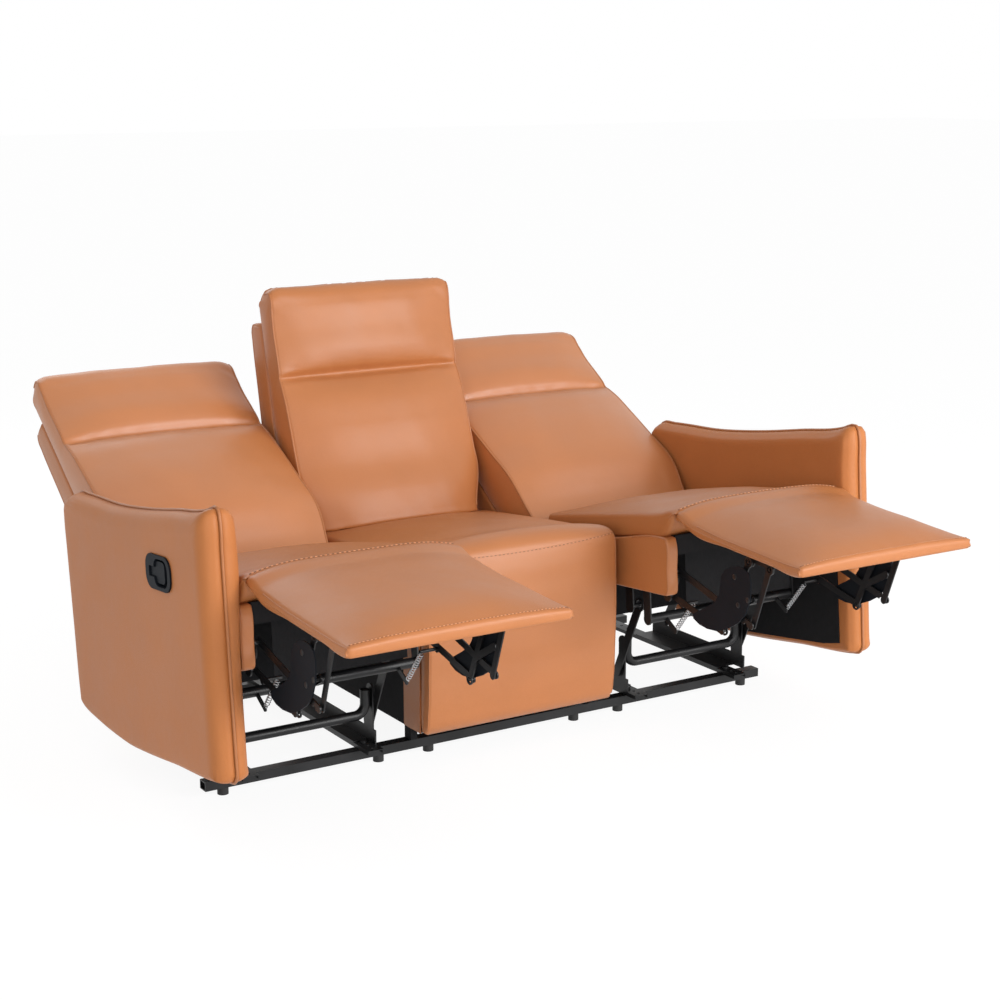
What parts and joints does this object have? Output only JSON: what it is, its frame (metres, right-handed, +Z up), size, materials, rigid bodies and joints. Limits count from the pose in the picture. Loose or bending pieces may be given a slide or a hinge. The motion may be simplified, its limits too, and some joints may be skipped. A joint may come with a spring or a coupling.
{
  "type": "reclining sofa",
  "caption": "Leather reclining sofa: fixed middle seat between two end seats that swing forward, recline and raise footrests on scissor links over a steel floor base.",
  "frame": {"origin": "bottom centre of the whole sofa's box, on the floor", "axes": "+X to the right seen from the front, front is -Y, +Z up"},
  "size_m": [1.832, 1.7074, 1.0394],
  "materials": {
    "tan_leather": "smooth, satin",
    "black_steel": "black paint",
    "spring_steel": "bright",
    "dark_plastic": "matte",
    "black_cloth": "woven",
    "frame_wood": "raw",
    "foot_rubber": "matte"
  },
  "bodies": {
    "base": {"floor_rails": "black_steel", "floor_side_rails": "black_steel", "glide_feet": "foot_rubber", "pivot_towers": "black_steel", "low_cross_tubes": "black_steel", "middle_box_frame": "black_cloth", "middle_front_panel": "tan_leather", "middle_seat_cushion": "tan_leather", "middle_back_cushion": "tan_leather", "middle_back_shell": "tan_leather"},
    "seat_left": {"seat_side_panels_left": "tan_leather", "seat_frame_left": "black_cloth", "seat_cushion_left": "tan_leather", "seat_plates_left": "black_steel", "upper_cross_tube_left": "black_steel", "arm_core_left": "frame_wood", "arm_outer_cover_left": "tan_leather", "arm_inner_cover_left": "tan_leather", "arm_liner_left": "black_cloth", "release_bezel_left": "dark_plastic", "closing_springs_left": "spring_steel"},
    "release_flap_body_left": {"release_flap_left": "dark_plastic"},
    "rear_swing_left": {"rear_swing_links_left": "black_steel"},
    "front_swing_left": {"front_swing_links_left": "black_steel"},
    "back_left": {"back_cushion_left": "tan_leather", "back_shell_left": "tan_leather", "back_brackets_left": "black_steel"},
    "footrest_left": {"footrest_board_left": "black_cloth", "footrest_brackets_left": "black_steel", "footrest_pad_left": "tan_leather"},
    "long_link_left": {"long_links_left": "black_steel"},
    "short_link_left": {"short_links_left": "black_steel"},
    "cross_link_left": {"cross_links_left": "black_steel", "link_guards_left": "dark_plastic"},
    "tip_link_left": {"tip_links_left": "black_steel"},
    "seat_right": {"seat_side_panels_right": "tan_leather", "seat_frame_right": "black_cloth", "seat_cushion_right": "tan_leather", "seat_plates_right": "black_steel", "upper_cross_tube_right": "black_steel", "arm_core_right": "frame_wood", "arm_outer_cover_right": "tan_leather", "arm_inner_cover_right": "tan_leather", "arm_liner_right": "black_cloth", "release_bezel_right": "dark_plastic", "closing_springs_right": "spring_steel"},
    "release_flap_body_right": {"release_flap_right": "dark_plastic"},
    "rear_swing_right": {"rear_swing_links_right": "black_steel"},
    "front_swing_right": {"front_swing_links_right": "black_steel"},
    "back_right": {"back_cushion_right": "tan_leather", "back_shell_right": "tan_leather", "back_brackets_right": "black_steel"},
    "footrest_right": {"footrest_board_right": "black_cloth", "footrest_brackets_right": "black_steel", "footrest_pad_right": "tan_leather"},
    "long_link_right": {"long_links_right": "black_steel"},
    "short_link_right": {"short_links_right": "black_steel"},
    "cross_link_right": {"cross_links_right": "black_steel", "link_guards_right": "dark_plastic"},
    "tip_link_right": {"tip_links_right": "black_steel"}
  },
  "joints": [
    {"name": "rear_swing_hinge_left", "type": "hinge", "parent": "base", "child": "rear_swing_left", "pos_m": [-0.556, 0.2363, 0.08], "axis": [-1, 0, 0], "range_deg": [0, 70.4]},
    {"name": "seat_swing_left", "type": "hinge", "parent": "rear_swing_left", "child": "seat_left", "pos_m": [-0.556, 0.12564, 0.27014], "axis": [1, 0, 0], "range_deg": [0, 74.9]},
    {"name": "front_swing_hinge_left", "type": "hinge", "parent": "base", "child": "front_swing_left", "pos_m": [-0.556, -0.0899, 0.0979], "axis": [-1, 0, 0], "range_deg": [0, 71.5]},
    {"name": "back_recline_left", "type": "hinge", "parent": "seat_left", "child": "back_left", "pos_m": [-0.556, 0.27354, 0.32531], "axis": [1, 0, 0], "range_deg": [0, 34.8]},
    {"name": "footrest_hinge_left", "type": "hinge", "parent": "seat_left", "child": "footrest_left", "pos_m": [-0.556, -0.40572, 0.57235], "axis": [1, 0, 0], "range_deg": [0, 82.1]},
    {"name": "long_link_hinge_left", "type": "hinge", "parent": "seat_left", "child": "long_link_left", "pos_m": [-0.556, -0.35765, 0.42651], "axis": [1, 0, 0], "range_deg": [0, 84.4]},
    {"name": "short_link_hinge_left", "type": "hinge", "parent": "seat_left", "child": "short_link_left", "pos_m": [-0.556, -0.33701, 0.36177], "axis": [1, 0, 0], "range_deg": [0, 85.7], "deforming": ["closing_springs_left"]},
    {"name": "cross_link_hinge_left", "type": "hinge", "parent": "long_link_left", "child": "cross_link_left", "pos_m": [-0.556, -0.55699, 0.37496], "axis": [-1, 0, 0], "range_deg": [0, 92.1]},
    {"name": "tip_link_hinge_left", "type": "hinge", "parent": "long_link_left", "child": "tip_link_left", "pos_m": [-0.556, -0.63221, 0.3555], "axis": [-1, 0, 0], "range_deg": [0, 82.1]},
    {"name": "release_flap_hinge_left", "type": "hinge", "parent": "seat_left", "child": "release_flap_body_left", "pos_m": [-0.909, -0.1361, 0.55389], "axis": [0, -0.0872, -0.9962], "range_deg": [0, 30], "stiffness_Nm_per_rad": 0.6},
    {"name": "rear_swing_hinge_right", "type": "hinge", "parent": "base", "child": "rear_swing_right", "pos_m": [0.556, 0.2363, 0.08], "axis": [-1, 0, 0], "range_deg": [0, 70.4]},
    {"name": "seat_swing_right", "type": "hinge", "parent": "rear_swing_right", "child": "seat_right", "pos_m": [0.556, 0.12564, 0.27014], "axis": [1, 0, 0], "range_deg": [0, 74.9]},
    {"name": "front_swing_hinge_right", "type": "hinge", "parent": "base", "child": "front_swing_right", "pos_m": [0.556, -0.0899, 0.0979], "axis": [-1, 0, 0], "range_deg": [0, 71.5]},
    {"name": "back_recline_right", "type": "hinge", "parent": "seat_right", "child": "back_right", "pos_m": [0.556, 0.27354, 0.32531], "axis": [1, 0, 0], "range_deg": [0, 34.8]},
    {"name": "footrest_hinge_right", "type": "hinge", "parent": "seat_right", "child": "footrest_right", "pos_m": [0.556, -0.40572, 0.57235], "axis": [1, 0, 0], "range_deg": [0, 82.1]},
    {"name": "long_link_hinge_right", "type": "hinge", "parent": "seat_right", "child": "long_link_right", "pos_m": [0.556, -0.35765, 0.42651], "axis": [1, 0, 0], "range_deg": [0, 84.4]},
    {"name": "short_link_hinge_right", "type": "hinge", "parent": "seat_right", "child": "short_link_right", "pos_m": [0.556, -0.33701, 0.36177], "axis": [1, 0, 0], "range_deg": [0, 85.7], "deforming": ["closing_springs_right"]},
    {"name": "cross_link_hinge_right", "type": "hinge", "parent": "long_link_right", "child": "cross_link_right", "pos_m": [0.556, -0.55699, 0.37496], "axis": [-1, 0, 0], "range_deg": [0, 92.1]},
    {"name": "tip_link_hinge_right", "type": "hinge", "parent": "long_link_right", "child": "tip_link_right", "pos_m": [0.556, -0.63221, 0.3555], "axis": [-1, 0, 0], "range_deg": [0, 82.1]},
    {"name": "release_flap_hinge_right", "type": "hinge", "parent": "seat_right", "child": "release_flap_body_right", "pos_m": [0.909, -0.1361, 0.55389], "axis": [0, 0.0872, 0.9962], "range_deg": [0, 30], "stiffness_Nm_per_rad": 0.6}
  ],
  "couplings": [
    {"joint": "rear_swing_hinge_left", "follows": "seat_swing_left", "ratio": 0.93734},
    {"joint": "front_swing_hinge_left", "follows": "seat_swing_left", "ratio": 0.95201},
    {"joint": "back_recline_left", "follows": "seat_swing_left", "ratio": 0.46241},
    {"joint": "long_link_hinge_left", "follows": "footrest_hinge_left", "ratio": 1.0261},
    {"joint": "short_link_hinge_left", "follows": "footrest_hinge_left", "ratio": 1.0421},
    {"joint": "cross_link_hinge_left", "follows": "footrest_hinge_left", "ratio": 1.1197},
    {"joint": "tip_link_hinge_left", "follows": "footrest_hinge_left", "ratio": 0.99732},
    {"joint": "rear_swing_hinge_right", "follows": "seat_swing_right", "ratio": 0.93734},
    {"joint": "front_swing_hinge_right", "follows": "seat_swing_right", "ratio": 0.95201},
    {"joint": "back_recline_right", "follows": "seat_swing_right", "ratio": 0.46241},
    {"joint": "long_link_hinge_right", "follows": "footrest_hinge_right", "ratio": 1.0261},
    {"joint": "short_link_hinge_right", "follows": "footrest_hinge_right", "ratio": 1.0421},
    {"joint": "cross_link_hinge_right", "follows": "footrest_hinge_right", "ratio": 1.1197},
    {"joint": "tip_link_hinge_right", "follows": "footrest_hinge_right", "ratio": 0.99732}
  ]
}
